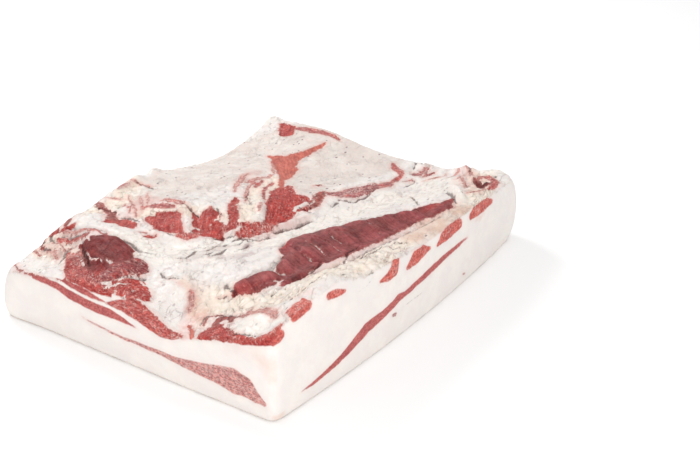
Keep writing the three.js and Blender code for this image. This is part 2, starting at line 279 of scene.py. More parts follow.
FAR_SIDE_LEAN = [
    ("streak", [(-118, 26, 0.4), (-90, 28, 2), (-55, 30, 3), (-20, 33, 3.6), (20, 33, 3), (60, 36, 3.4), (96, 38, 2), (118, 37, 0.4)]),
    ("red", [(-112, 50, 1), (-100, 50, 3.2), (-84, 49, 2.6), (-76, 48, 0.6)]),
    ("red", [(-50, 45, 1), (-36, 45, 3), (-18, 45, 3.4), (-8, 44, 1)]),
    ("pink", [(46, 52, 1.5), (70, 54, 3.4), (98, 55, 3), (126, 52, 1.5)]),
    ("netted", [(-30, 18, 0.6), (0, 17, 2.2), (34, 19, 2.6), (60, 21, 0.6)]),
]
BACK_SIDE_LEAN = [
    ("streak", [(-176, 30, 0.4), (-140, 32, 2.4), (-100, 36, 3.6), (-55, 37, 3.4), (-10, 33, 2.8), (40, 27, 2.6), (86, 25, 1.6), (110, 25, 0.4)]),
    ("rim", [(-150, 52, 2), (-136, 54, 4), (-118, 56, 4.5), (-106, 57, 2)]),
    ("red", [(-92, 56, 1.5), (-80, 57, 3.6), (-62, 57, 3)]),
    ("pink", [(-40, 55, 1.5), (-22, 54, 3.5), (-2, 52, 3), (12, 49, 1)]),
    ("streak", [(40, 40, 0.6), (70, 38, 2), (110, 39, 2.6), (150, 43, 2), (172, 45, 0.6)]),
    ("netted", [(-150, 16, 0.6), (-120, 16, 2.4), (-80, 18, 3), (-44, 19, 0.6)]),
]

# Kinds of fat on the top: the colour that names it, how lumpy it is from 0 to 1, a spine, and how strong.
TOP_FAT = [
    ("lining", 0.12, [(-54, 102, 22), (-20, 108, 32), (40, 100, 42), (110, 100, 45), (160, 70, 40)]),
    ("lining", 0.12, [(60, 20, 26), (110, 20, 36), (160, 10, 36)]),
    ("snow", 0.4, [(-128, 66, 10), (-126, 30, 20), (-96, -4, 20), (-50, -34, 12), (30, -50, 14), (100, -66, 20)]),
    ("snow", 0.3, [(90, -90, 18), (130, -90, 22), (150, -70, 16)]),
    ("cream", 1.0, [(-148, 142, 12), (-156, 120, 13), (-162, 104, 8)]),
    ("cream", 0.8, [(-150, -50, 16), (-146, -84, 14), (-130, -116, 18), (-90, -128, 16), (-40, -134, 14),
                    (0, -136, 10)]),
    ("snow", 0.0, [(-174, -104, 14), (-171, -118, 14)]),
    ("cream", 0.9, [(40, -128, 8), (66, -140, 8), (110, -142, 10), (176, -110, 14)]),
    ("peach", 0.2, [(14, -138, 12), (50, -138, 12), (84, -144, 8)]),
    ("peach", 0.3, [(-176, -56, 5), (-160, -40, 6), (-148, -20, 6)]),
    ("cream", 0.6, [(-98, 136, 8), (-70, 126, 10), (-40, 140, 10)]),
    ("cream", 0.7, [(-82, 88, 8), (-66, 60, 8), (-40, 6, 8), (20, 36, 10), (50, 40, 8)]),
    ("snow", 0.1, [(114, -115, 3), (106, -124, 6), (98, -133, 6)]),
    ("snow", 0.2, [(178, -106, 5), (181, -124, 6)]),
]

# Stains on the fat of the top, the grey bruises partly painted shade: the colour that names it, how strong from 0 to
# 1, and a spine.
TOP_STAINS = [
    ("bruise_and_shade", 0.5, [(-108, -12, 2), (-102, -22, 3), (-94, -32, 4), (-86, -37, 3)]),
    ("bruise_and_shade", 0.75, [(-82, -28, 1.5), (-72, -22, 2.5), (-61, -17, 1.5)]),
    ("bruise_and_shade", 0.35, [(-120, 4, 6), (-100, -4, 7), (-84, -6, 5)]),
    ("bruise_and_shade", 0.7, [(-56, 140, 2), (-46, 141, 3.5)]),
    ("blush", 0.6, [(-36, 139, 1.5), (-33, 125, 2)]),
    ("blush", 0.6, [(-73, 141, 1.5), (-69, 129, 2.5)]),
    ("bruise_and_shade", 0.55, [(-36, 46, 1.2), (-31, 55, 1.6)]),
    ("bruise_and_shade", 0.45, [(-50, 77, 3), (-45, 80, 2)]),
    ("blush", 0.5, [(-163, -37, 1.5), (-157, -32, 3.5)]),
    ("bruise_and_shade", 0.4, [(-174, -37, 1), (-160, -34, 1.5), (-142, -22, 1)]),
    ("blush", 0.3, [(-155, 146, 4), (-158, 128, 5), (-160, 113, 5)]),
    ("bruise_and_shade", 0.4, [(-171, 105, 2), (-162, 111, 3)]),
    ("blush", 0.25, [(120, -124, 7), (150, -108, 14), (176, -94, 10)]),
    ("blush", 0.35, [(-52, -20, 4), (-20, -22, 3), (12, -24, 3)]),
    ("blush", 0.35, [(-190, -52, 5), (-180, -44, 6), (-170, -50, 5)]),
    ("blush", 0.3, [(-100, 110, 8), (-84, 96, 8), (-62, 100, 12)]),
    ("blush", 0.3, [(36, 60, 10), (56, 72, 8)]),
    ("blush", 0.45, [(-152, -4, 1.4), (-154, -18, 1.6)]),
    ("blush", 0.5, [(-149, -52, 1.2), (-146, -59, 1.6)]),
    ("blush", 0.3, [(-100, -104, 5), (-60, -112, 5), (-20, -116, 5), (40, -122, 5), (90, -134, 5)]),
    ("blush", 0.3, [(-146, -126, 3), (-140, -138, 3)]),
    ("bruise_and_shade", 0.5, [(118, -10, 1.6), (126, -2, 1.2)]),
    ("bruise_and_shade", 0.5, [(60, 104, 1.2), (64, 99, 1.6)]),
    ("bruise_and_shade", 0.5, [(98, 124, 1.2), (104, 120, 1.6)]),
    ("bruise_and_shade", 0.5, [(68, 90, 1.2), (73, 87, 1.2)]),
    ("bruise_and_shade", 0.5, [(149, 88, 1.6), (154, 85, 1.2)]),
    ("bruise_and_shade", 0.5, [(-13, 81, 1.2), (-9, 84, 1.4)]),
    ("bruise_and_shade", 0.4, [(122, -72, 1.2), (130, -66, 1.4)]),
    ("bruise_and_shade", 0.4, [(110, -60, 1.2), (116, -56, 1.2)]),
]

# Stains on the fat of the near end and of the long front side: a spine of the place along it, the height
# and the half width.
NEAR_SIDE_STAINS = [
    ("blush", 0.14, [(-98, 56, 3), (-118, 60, 5), (-130, 58, 6)]),
    ("peach", 0.4, [(-126, 61, 3), (-136, 55, 4), (-141, 44, 3)]),
]
LONG_SIDE_STAINS = [("peach", 0.5, [(-188, 5, 2), (-182, 5, 3)]), ("blush", 0.3, [(96, 58, 1), (112, 57, 1.5)])]

# Dark lines in the fat: where a blade, a vessel or a fold left a furrow, sunk and painted dark with blood and painted
# shade. A spine of X, Y and half width.
TOP_CREASES = [
    [(-30, -19, 0.5), (-20, -22, 1.2), (-10, -26, 1.4), (2, -27, 1.9), (12, -28, 0.9)],
    [(-119, 7, 0.6), (-110, 6, 1.8), (-101, 9, 0.8)],
    [(-88, 2, 0.6), (-80, -3, 1.6), (-74, -1, 0.8)],
    [(-101, 3, 0.3), (-94, 0, 1.0), (-86, -2, 0.3)],
    [(-112, -3, 0.3), (-104, -6, 0.9), (-96, -6, 0.3)],
    [(-79, -9, 0.3), (-71, -12, 0.9), (-64, -11, 0.3)],
    [(-124, 11, 0.3), (-121, 9, 0.8)],
    [(-96, 9, 0.3), (-92, 6, 0.8)],
    [(-106, -9, 0.6), (-98, -14, 1.6), (-88, -12, 0.9)],
    [(-70, -1, 0.6), (-60, -6, 1.4), (-53, -14, 0.6)],
    [(-86, -22, 0.4), (-76, -24, 1.1), (-66, -20, 0.4)],
    [(-66, 4, 0.4), (-62, 0, 1.2)],
    [(-52, -20, 0.4), (-42, -22, 1)],
    [(-131, 74, 0.4), (-130, 56, 0.9), (-135, 44, 1.6), (-134, 37, 1), (-129, 31, 0.4)],
    [(-93, 104, 0.5), (-93, 92, 1.0), (-94, 81, 0.4)],
    [(70, -104, 0.3), (84, -93, 0.8), (100, -80, 0.7), (109, -73, 0.2)],
    [(-139, -59, 1.4), (-141, -65, 1.2)],
    [(-133, -48, 0.8), (-136, -52, 1.2), (-138, -58, 0.5)],
    [(-149, -52, 0.5), (-146, -58, 0.9)],
    [(46, -27, 0.8), (56, -26, 1.5)],
    [(60, -24, 0.4), (70, -35, 0.7), (84, -38, 0.8), (100, -38, 0.4)],
    [(91, -133, 0.6), (97, -124, 1.1), (105, -114, 0.8), (113, -108, 0.3)],
    [(130, -52, 0.4), (140, -53, 1.0), (150, -51, 0.5)],
    [(168, -38, 0.5), (177, -35, 1.0), (186, -26, 0.6)],
    [(176, -42, 0.4), (186, -38, 0.8)],
    [(-34, 136, 0.4), (-35, 122, 1), (-32, 114, 0.3)],
    [(-88, 146, 0.4), (-88, 120, 0.9), (-91, 106, 0.4)],
    [(-159, 125, 0.4), (-158, 133, 1.2), (-155, 138, 0.5)],
    [(-150, 129, 0.5), (-146, 137, 1.3), (-140, 144, 0.9)],
    [(-153, 150, 0.8), (-146, 144, 0.8)],
    [(-172, 102, 0.4), (-163, 104, 1.1), (-158, 109, 1.3), (-154, 107, 0.4)],
    [(-140, 126, 0.4), (-140, 112, 0.8), (-140, 100, 0.4)],
    [(-133, 122, 0.4), (-133, 106, 0.8), (-132, 92, 0.4)],
    [(-146, 99, 0.4), (-154, 91, 0.8), (-160, 83, 0.7), (-166, 74, 0.6), (-171, 66, 0.4)],
    [(-162, 74, 0.4), (-165, 66, 0.9), (-167, 60, 0.4)],
    [(-165, 18, 0.5), (-163, 13, 1.2)],
    [(-150, -124, 0.4), (-120, -130, 0.8), (-84, -140, 0.4)],
    [(-132, -92, 0.4), (-112, -98, 0.8), (-90, -108, 0.4)],
    [(-96, -104, 0.4), (-76, -101, 1.0), (-66, -96, 0.4)],
    [(-50, -124, 0.4), (-20, -126, 0.9), (-2, -134, 0.4)],
    [(-62, -116, 0.5), (-44, -107, 0.9), (-28, -106, 0.4)],
    [(-146, -14, 0.3), (-153, -2, 0.8), (-147, 12, 0.3)],
    [(-62, -5, 0.4), (-58, -13, 0.8), (-50, -19, 0.5)],
    [(18, -11, 1.0), (19, -15, 1.4), (21, -20, 0.6)],
    [(27, -12, 0.6), (27, -17, 1.0)],
    [(-75, 12, 0.5), (-71, 6, 1.1), (-67, 8, 0.5)],
    [(-96, 64, 0.4), (-95, 54, 0.8), (-92, 44, 0.5)],
    [(-55, 64, 0.4), (-58, 52, 0.8), (-62, 40, 0.5)],
    [(-46, 40, 0.4), (-42, 33, 0.8), (-50, 24, 0.5)],
    [(-10, 28, 0.4), (0, 35, 0.8), (10, 41, 0.4)],
    [(-178, -57, 0.4), (-168, -56, 0.9), (-163, -62, 0.5)],
    [(-163, -66, 0.4), (-162, -80, 0.9), (-164, -90, 0.4)],
    [(-186, -98, 0.4), (-186, -114, 0.8), (-188, -124, 0.4)],
    [(144, -134, 0.6), (143, -124, 1.0), (150, -114, 0.6)],
    [(166, -126, 0.6), (172, -128, 1.2)],
    [(166, -102, 0.4), (180, -94, 1.1), (190, -86, 0.5)],
]
SIDE_CREASES = [[(-92, 74, 0.3), (-80, 74, 0.6), (-70, 77, 0.3)], [(-38, 29, 0.3), (-20, 30, 0.5), (2, 30, 0.3)]]

# Ridges and furrows finer than the slab's own: kind of place, a spine of X, Y and half width, and the rise.
TOP_RELIEF = [
    ([(-147, 98, 2), (-154, 91, 3), (-160, 83, 3), (-166, 74, 3.5), (-172, 65, 3), (-176, 58, 2)], -1.8),
    ([(-156, 88, 1), (-163, 75, 1.3), (-168, 64, 1.8), (-169, 57, 1.6), (-173, 49, 1)], 3.5),
    ([(-146, 128, 2), (-143, 112, 2.5), (-142, 98, 2)], 2.5),
    ([(-138, 130, 2), (-136, 112, 2.5), (-135, 92, 3)], 2.5),
    ([(-131, 130, 2), (-131, 104, 2.5), (-131, 74, 3), (-134, 42, 3)], -3.0),
    ([(-139, 56, 2), (-140, 46, 3), (-148, 38, 3)], -2.0),
    ([(-180, 30, 1.5), (-172, 25, 2), (-165, 15, 2)], -2.6),
    ([(-122, -60, 2), (-100, -69, 2.5), (-76, -66, 2.5), (-62, -52, 2.5), (-44, -43, 2)], -3.0),
    ([(-40, -44, 2), (-8, -60, 3), (20, -77, 3), (56, -102, 3)], -3.0),
    ([(-118, -92, 2), (-90, -107, 3), (-60, -119, 3), (-24, -118, 3), (12, -124, 3), (60, -133, 2)], -3.0),
    ([(-67, -102, 2), (-70, -86, 2.4), (-62, -60, 2)], -2.4),
    ([(-103, -70, 1.5), (-101, -80, 2.2), (-96, -90, 1.5)], -2.4),
    ([(-28, -92, 1.5), (-24, -78, 2), (-16, -64, 1.5)], -1.6),
    ([(-30, -20, 1.5), (-8, -26, 2.6), (14, -29, 1.5)], -4.0),
    ([(-26, -17, 2), (0, -22, 3), (24, -24, 2)], 2.0),
    ([(-36, 0, 3), (-28, -3, 3.5), (-18, 4, 3), (-6, 14, 3)], 2.6),
    ([(-46, 6, 3), (-40, 10, 2)], 2.0),
    ([(-60, 14, 2), (-58, 30, 2), (-40, 44, 3)], 1.8),
    ([(-80, 38, 2), (-70, 47, 3), (-60, 58, 3)], 2.2),
    ([(-97, 30, 2), (-97, 46, 2.5), (-100, 64, 3)], 2.0),
    ([(-92, 82, 2), (-91, 100, 2), (-88, 116, 2)], 1.8),
    ([(-56, 82, 2), (-52, 66, 2.5), (-54, 52, 2)], 2.0),
    ([(46, 30, 3), (60, 50, 3), (70, 66, 3)], 0.8),
    ([(114, -113, 2), (107, -122, 4.5), (100, -130, 4.5)], 8.0),
    ([(118, -134, 4), (136, -138, 4)], 2.0),
    ([(155, -115, 2), (148, -125, 4)], -4.0),
    ([(158, -116, 2.5), (164, -127, 3), (156, -136, 4)], 3.0),
    ([(140, -112, 3), (156, -98, 3)], 1.0),
    ([(178, -104, 6), (182, -124, 7)], 3.4),
    ([(160, -108, 3), (184, -88, 4)], 2.2),
    ([(150, -36, 3), (176, -32, 4)], 2.4),
    ([(140, -60, 5), (172, -66, 6)], 2.0),
    ([(178, -46, 8), (186, -68, 9), (182, -90, 7)], 5.5),
    ([(-178, -108, 9), (-170, -108, 9)], 3.0),
    ([(-176, -86, 3), (-172, -94, 2.5), (-178, -122, 3)], -1.8),
    ([(-182, -68, 3), (-172, -66, 3)], -1.6),
    ([(-150, 128, 5), (-158, 116, 6)], 2.6),
    ([(-60, 141, 5), (-48, 142, 5)], 3.2),
    ([(-38, 142, 5), (-28, 144, 5)], 4.2),
    ([(-6, 144, 4), (2, 146, 4)], 3.4),
    ([(-86, 140, 5), (-76, 138, 5)], 2.0),
    ([(188, 142, 6), (176, 146, 6)], 3.0),
]


class BellySizes(bpy.types.PropertyGroup):
    """Sizes of the slab's surface."""

    cell: bpy.props.FloatProperty(
        name="Surface cell", description="Size of the faces that the surface is shaped with", default=1.62 * MM,
        min=1 * MM, max=8 * MM, unit="LENGTH")
    relief: bpy.props.FloatProperty(
        name="Relief", description="Strength of the ridges and furrows on top", default=1.0, min=0, max=2)
    lumps: bpy.props.FloatProperty(
        name="Fat lumps", description="Height of the lumps in the softest fat", default=2.2 * MM, min=0, max=4 * MM,
        unit="LENGTH")
    ragged: bpy.props.FloatProperty(
        name="Ragged edge", description="How far the torn edge of the lean wanders", default=1.5 * MM, min=0,
        max=6 * MM, unit="LENGTH")
    rind: bpy.props.FloatProperty(
        name="Rind", description="Thickness of the rind at the foot of the cut sides", default=2.6 * MM, min=0,
        max=6 * MM, unit="LENGTH")


def colour_property(name, description, default):
    return bpy.props.FloatVectorProperty(
        name=name, description=description, subtype="COLOR", size=3, min=0, max=1, default=default)


class BellyColours(bpy.types.PropertyGroup):
    """Colours of the slab's lean, fat and rind."""

    wine: colour_property("Dark muscle", "Muscle that moved most", (0.195, 0.008, 0.014))
    core: colour_property("Muscle core", "The darkest muscle", (0.105, 0.013, 0.017))
    skirt: colour_property("Skirt muscle", "The long flat muscle", (0.29, 0.068, 0.075))
    shade: colour_property("Skirt muscle's middle", "The darkest of the long flat muscle", (0.16, 0.030, 0.034))
    # Partly painted sheen: this pale film colour also lightens the skirt muscle where its wet surface gleams.
    veil_and_sheen: colour_property("Skin of the skirt muscle", "Film over the long flat muscle", (0.40, 0.16, 0.15))
    brown: colour_property("Dried muscle", "Muscle dried by the air", (0.30, 0.085, 0.075))
    red: colour_property("Rib muscle", "Freshly bared muscle", (0.47, 0.050, 0.045))
    flank: colour_property("Flank muscle", "Muscle cut across by the near end", (0.57, 0.125, 0.11))
    oval: colour_property("Rib ends", "Ends of the rib muscles on the long side", (0.71, 0.165, 0.13))
    coral: colour_property("Muscle under the lining", "Muscle seen through a film", (0.68, 0.20, 0.145))
    pink: colour_property("Pale muscle", "Muscle mixed with fat", (0.50, 0.15, 0.14))
    streak: colour_property("Streaks", "Muscle cut across on the sides", (0.56, 0.15, 0.145))
    netted: colour_property("Netted muscle", "Pale muscle with a net of fat", (0.76, 0.38, 0.345))
    faint: colour_property("Faint muscle", "Muscle under a thin layer of fat", (0.65, 0.36, 0.31))
    mauve: colour_property("Mauve film", "Film with blood under it", (0.40, 0.16, 0.17))
    fat: colour_property("Fat", "Firm back fat", (0.765, 0.712, 0.683))
    lining: colour_property("Lining", "Film over the belly's inner side", (0.68, 0.60, 0.555))
    snow: colour_property("White fat", "The whitest soft fat", (0.84, 0.79, 0.735))
    cream: colour_property("Cream fat", "Soft lumpy fat", (0.82, 0.72, 0.62))
    peach: colour_property("Peach fat", "Fat stained by the muscle", (0.70, 0.50, 0.40))
    blush: colour_property("Blush", "Fat pinked by the muscle under it", (0.66, 0.30, 0.26))
    bruise_and_shade: colour_property("Bruise", "Fat greyed by blood and shade", (0.36, 0.23, 0.24))
    furrow: colour_property("Furrows", "Blood and shade in the furrows", (0.13, 0.078, 0.07))
    rind: colour_property("Rind", "Scraped skin", (0.62, 0.53, 0.46))


def sizes():
    return bpy.context.scene.belly_sizes


def colours():
    return bpy.context.scene.belly_colours


# Shapes: fields over the surface.


def spine_field(a, b, spine):
    """How far inside a spine's outline each point is, and its places along and across it."""
    inside = np.full(a.shape, -1e3)
    along = np.zeros_like(a)
    across = np.zeros_like(a)
    start = 0.0
    for (a0, b0, half0), (a1, b1, half1) in zip(spine, spine[1:]):
        da, db = a1 - a0, b1 - b0
        length = math.hypot(da, db)
        share = np.clip(((a - a0) * da + (b - b0) * db) / length**2, 0, 1)
        ga, gb = a - a0 - share * da, b - b0 - share * db
        depth = half0 + (half1 - half0) * share - np.hypot(ga, gb)
        better = depth > inside
        inside[better] = depth[better]
        along[better] = (start + share * length)[better]
        across[better] = ((da * gb - db * ga) / length)[better]
        start += length
    return inside, along, across


def step(low, high, value):
    share = np.clip((value - low) / (high - low), 0, 1)
    return share * share * (3 - 2 * share)


def bell(value, half):
    return np.exp(-((value / half) ** 2))


def wander(points, size, octaves=2, seed=0.0):
    """Smooth noise from about -1 to 1 with features of a size in millimetres."""
    shift = Vector((seed * 17.3, seed * -9.1, seed * 5.7))
    return np.array([noise.fractal(Vector(p) / size + shift, 0.9, 2.1, octaves) for p in points])


def cobbles(points, size, seed=0.0):
    """Rounded lumps of a size in millimetres: 1 on top of each and 0 in the gaps."""
    shift = Vector((seed, seed * 2.7, -seed))
    gaps = []
    for p in points:
        distances, _ = noise.voronoi(Vector(p) / size + shift)
        gaps.append(distances[1] - distances[0])
    return step(0.0, 0.5, np.array(gaps))


def hollows(x, y, lift, cell=2.0, reach=3):
    """How far each point lies below the average of the points round it."""
    column = ((x - x.min()) / cell).astype(int) + reach
    row = ((y - y.min()) / cell).astype(int) + reach
    shape = (column.max() + reach + 1, row.max() + reach + 1)
    total, count = np.zeros(shape), np.zeros(shape)
    np.add.at(total, (column, row), lift)
    np.add.at(count, (column, row), 1)
    for axis in (0, 1):
        total = sum(np.roll(total, shift, axis) for shift in range(-reach, reach + 1))
        count = sum(np.roll(count, shift, axis) for shift in range(-reach, reach + 1))
    return (total / np.maximum(count, 1))[column, row] - lift


class Surface:
    """The slab's surface as arrays in millimetres, and what each point of it is made of."""

    def __init__(self, mesh):
        self.mesh = mesh
        count = len(mesh.vertices)
        flat = np.empty(count * 3)
        mesh.vertices.foreach_get("co", flat)
        self.at = flat.reshape(-1, 3) / MM
        mesh.vertices.foreach_get("normal", flat)
        self.out = flat.reshape(-1, 3).copy()
        self.lean = np.full(count, -30.0)
        self.grain = np.zeros((count, 3))
        self.weight = np.full(count, 1e-6)
        self.meat = np.zeros((count, 3))
        self.marble = np.zeros(count)
        self.rise = np.zeros(count)

    def add_lean(self, table, a, b, shown, rough):
        """Adds one side's lean. shown is 1 where that side's surface is, and rough says how far edges wander."""
        for kind, spine in table:
            inside, along, across = spine_field(a, b, spine)
            inside = inside + rough - 14 * (1 - shown)
            look = LEAN_KINDS[kind]
            weight = np.clip(inside + 4, 0, 8) ** 2
            self.meat += weight[:, None] * np.array(getattr(colours(), look["colour"]))
            self.marble += weight * look["marble"]
            self.rise += weight * look["rise"]
            self.weight += weight
            nearer = inside > self.lean
            self.lean[nearer] = inside[nearer]
            if look["flow"] is not None:
                heading = math.radians(look["flow"])
                along = a * math.cos(heading) + b * math.sin(heading)
                across = a * math.sin(heading) - b * math.cos(heading)
            self.grain[nearer, 0] = along[nearer]
            self.grain[nearer, 1] = across[nearer]
            self.grain[nearer, 2] = look["rise"] * 20

    def mix_lean(self):
        self.meat /= self.weight[:, None]
        self.marble /= self.weight
        self.rise /= self.weight

    def store(self, name, kind, values):
        field = {"FLOAT": "value", "FLOAT_VECTOR": "vector", "FLOAT_COLOR": "color"}[kind]
        if kind == "FLOAT_COLOR":
            values = np.hstack([values, np.ones((len(values), 1))])
        layer = self.mesh.attributes.new(name, kind, "POINT")
        layer.data.foreach_set(field, np.ascontiguousarray(values, np.float32).ravel())


def side_weights(out):
    """How much each point belongs to the top, the near end, the long front side, the far end and the back."""
    top = step(0.25, 0.5, out[:, 2])
    rest = step(0.9, 0.7, out[:, 2])
    near = step(0.35, 0.6, -out[:, 0]) * rest
    front = step(0.35, 0.6, -out[:, 1]) * rest
    far = step(0.35, 0.6, out[:, 0]) * rest
    back = step(0.35, 0.6, out[:, 1]) * rest
    return top, near, front, far, back


def spread_foot(at):
    """How far the foot of the near back corner is pushed out in plan, in millimetres."""
    share = bell(np.hypot(at[:, 0] + 190, at[:, 1] - 148), 26) * step(50, 4, at[:, 2])
    return share[:, None] * np.array((-2.4, 3.4))


def paint_and_shape(mesh):
    """Finds what each point is made of, raises the relief, and stores what the material reads."""
    s = Surface(mesh)
    x, y, z = s.at.T
    top, near, front, far, back = side_weights(s.out)
    sides = 1 - top
    ragged = sizes().ragged / MM
    slow = np.stack([wander(s.at, 16, 2, k) for k in (1, 2, 3)], 1)
    quick = np.stack([wander(s.at, 4.5, 3, k) for k in (4, 5, 6)], 1)
    shift = ragged * (0.9 * slow + 0.45 * quick) * (0.3 + 0.7 * top)[:, None]
    wx, wy, wz = (s.at + shift).T
    rough = quick[:, 2] * (0.25 + 0.75 * top)
    s.add_lean(TOP_LEAN, wx, wy, top, rough)
    s.add_lean(NEAR_SIDE_LEAN, wy, wz, near, rough)
    s.add_lean(LONG_SIDE_LEAN, wx, wz, front, rough)
    s.add_lean(FAR_SIDE_LEAN, wy, wz, far, rough)
    s.add_lean(BACK_SIDE_LEAN, wx, wz, back, rough)
    s.mix_lean()
    string = np.full(len(x), -9.0)
    for spine in TOP_STRINGS:
        inside, _, _ = spine_field(wx, wy, spine)
        string = np.maximum(string, inside + 0.5 * rough - 14 * (1 - top))
    s.lean = np.minimum(s.lean, -2.6 * string)

    # The fat: firm and pale on the cut sides, in zones on the top.
    base = np.array(colours().fat)
    fat = np.tile(base, (len(x), 1))
    lumpy = 0.35 * top
    for kind, lump, spine in TOP_FAT:
        inside, _, _ = spine_field(x + 5 * slow[:, 0], y + 5 * slow[:, 1], spine)
        share = step(-7, 5, inside) * top
        fat += share[:, None] * (np.array(getattr(colours(), kind)) - fat)
        lumpy += share * (lump - lumpy)
    stained = (
        (TOP_STAINS, wx, wy, top, 1), (NEAR_SIDE_STAINS, wy, wz, near, 3), (LONG_SIDE_STAINS, wx, wz, front, 1))
    for table, a, b, shown, soft in stained:
        for kind, strength, spine in table:
            inside, _, _ = spine_field(a, b, spine)
            share = strength * step(-2.6 * soft, 1.6 * soft, inside + 2.2 * quick[:, 1]) * shown
            fat += share[:, None] * (np.array(getattr(colours(), kind)) - fat)
    crease = np.zeros_like(x)
    for spine in TOP_CREASES:
        inside, _, _ = spine_field(wx, wy, spine)
        crease = np.maximum(crease, step(-1.2, 0.6, inside + 0.8 * quick[:, 0]) * top)
    for spine in SIDE_CREASES:
        inside, _, _ = spine_field(wx, wz, spine)
        crease = np.maximum(crease, 0.6 * step(-1.0, 0.6, inside) * front)

    # The relief of the top.
    lift = np.zeros_like(x)
    for spine, rise in TOP_RELIEF:
        inside, _, _ = spine_field(wx, wy, spine)
        half = np.mean([h for _, _, h in spine])
        lift += rise * step(-half, half, inside)
    meaty = step(-1.5, 3.5, s.lean)
    lift += s.rise * meaty
    lift += 0.9 * bell(s.lean + 1.5, 1.8) * (0.4 + 0.6 * quick[:, 0])
    across = s.grain[:, 1]
    skirt = meaty * step(-40, -48, y) * step(1.4, 2.0, s.rise)
    ridges = np.sin(across * 2 * math.pi / 24 + 2.4 * slow[:, 1])
    lift += 0.6 * skirt * ridges + 0.4 * skirt * quick[:, 0]
    # Partly painted light: the skirt muscle is painted lighter on its ridges and darker between them, in step with the
    # relief, and varies in broad patches besides.
    s.meat *= (1 + 0.22 * skirt * ridges + 0.35 * skirt * slow[:, 2])[:, None]
    flank = meaty * step(0, 12, y) * step(-120, -135, x)
    folds = np.sin(across * 2 * math.pi / 9 + 2 * slow[:, 0])
    lift += 0.45 * flank * folds
    soft = cobbles(s.at * (1, 1, 0.5) + 3 * quick, 11, 3.1)
    lift += sizes().lumps / MM * lumpy * (1 - 0.7 * meaty) * (soft - 0.5)
    wrinkle = np.abs(wander(s.at + 4 * slow, 11, 2, 9))
    fold = step(0.16, 0.0, wrinkle) * step(-0.15, 0.25, slow[:, 1]) * step(0.2, 0.6, lumpy) * (1 - meaty)
    lift -= 1.7 * fold
    # Painted shade: the folds also darken through the crease mask, as shade in them.
    crease = np.maximum(crease, 0.55 * fold)
    lift += (1.1 * slow[:, 2] + 0.7 * quick[:, 1]) * (0.3 + 0.7 * lumpy) * (1 - 0.4 * meaty)
    lift -= 1.4 * crease
    lift *= top * sizes().relief
    lift = np.clip(lift, -7, 8)
    swell = (0.35 * slow[:, 0] + 0.10 * quick[:, 0]) * sides * step(0, 6, z)
    moved = s.at.copy()
    moved[:, 2] += lift
    moved += s.out * swell[:, None]
    moved[:, :2] += spread_foot(s.at)
    moved[:, 2] = np.maximum(moved[:, 2], 0)
    mesh.vertices.foreach_set("co", (moved * MM).ravel())
    mesh.update()

    # Painted shade: points lying below the average of their neighbours are darkened as shade in hollows, and this is
    # stored in the crease mask.
    hollow = hollows(x, y, lift * top)
    s.store("lean", "FLOAT", s.lean)
    s.store("meat", "FLOAT_COLOR", s.meat)
    s.store("marble", "FLOAT", s.marble)
    s.store("grain", "FLOAT_VECTOR", s.grain)
    s.store("fat", "FLOAT_COLOR", fat)
    s.store("crease", "FLOAT", np.maximum(crease, 0.62 * step(0.4, 2.2, hollow) * (1 - 0.5 * meaty)))
    s.store("torn", "FLOAT", top)
    s.store("lumpy", "FLOAT", lumpy)


# Meshes.


def select_only(piece):
    bpy.ops.object.select_all(action="DESELECT")
    piece.select_set(True)
    bpy.context.view_layer.objects.active = piece


def apply_modifier(piece, kind, **settings):
    modifier = piece.modifiers.new(kind.title(), kind)
    for name, value in settings.items():
        setattr(modifier, name, value)
    select_only(piece)
    bpy.ops.object.modifier_apply(modifier=modifier.name)


def copy_of_node(name, piece_name):
    """A copy of a CAD node's mesh as a piece of its own, with its loose triangles merged into quads."""
    piece = bpy.data.objects.new(piece_name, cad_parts[name].data.copy())
    piece.data.name = piece_name
    piece.data.materials.clear()
    bpy.context.scene.collection.objects.link(piece)
    select_only(piece)
    bpy.ops.object.mode_set(mode="EDIT")
    bpy.ops.mesh.select_all(action="SELECT")
    bpy.ops.mesh.remove_doubles(threshold=0.01 * MM)
    bpy.ops.mesh.tris_convert_to_quads(face_threshold=math.radians(50), shape_threshold=math.radians(50))
    bpy.ops.mesh.select_all(action="DESELECT")
    bpy.ops.mesh.select_mode(type="EDGE")
    bpy.ops.mesh.edges_select_sharp(sharpness=math.radians(38))
    bpy.ops.transform.edge_crease(value=0.8)
    bpy.ops.object.mode_set(mode="OBJECT")
    return piece


def flatten_foot(piece):
    """Turns the resting face into one flat face."""
    select_only(piece)
    mesh = piece.data
    chosen = [p.normal.z < -0.9 and all(mesh.vertices[v].co.z < 0.3 * MM for v in p.vertices) for p in mesh.polygons]
    bpy.ops.object.mode_set(mode="EDIT")
    bpy.ops.mesh.select_mode(type="FACE")
    bpy.ops.mesh.select_all(action="DESELECT")
    bpy.ops.object.mode_set(mode="OBJECT")
    mesh.polygons.foreach_set("select", chosen)
    bpy.ops.object.mode_set(mode="EDIT")
    bpy.ops.mesh.dissolve_faces()
    bpy.ops.object.mode_set(mode="OBJECT")


def finish_piece(piece, material):
    piece.data.materials.clear()
    piece.data.materials.append(material)
    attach(piece, "root")
    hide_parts(NODE)


# Materials.


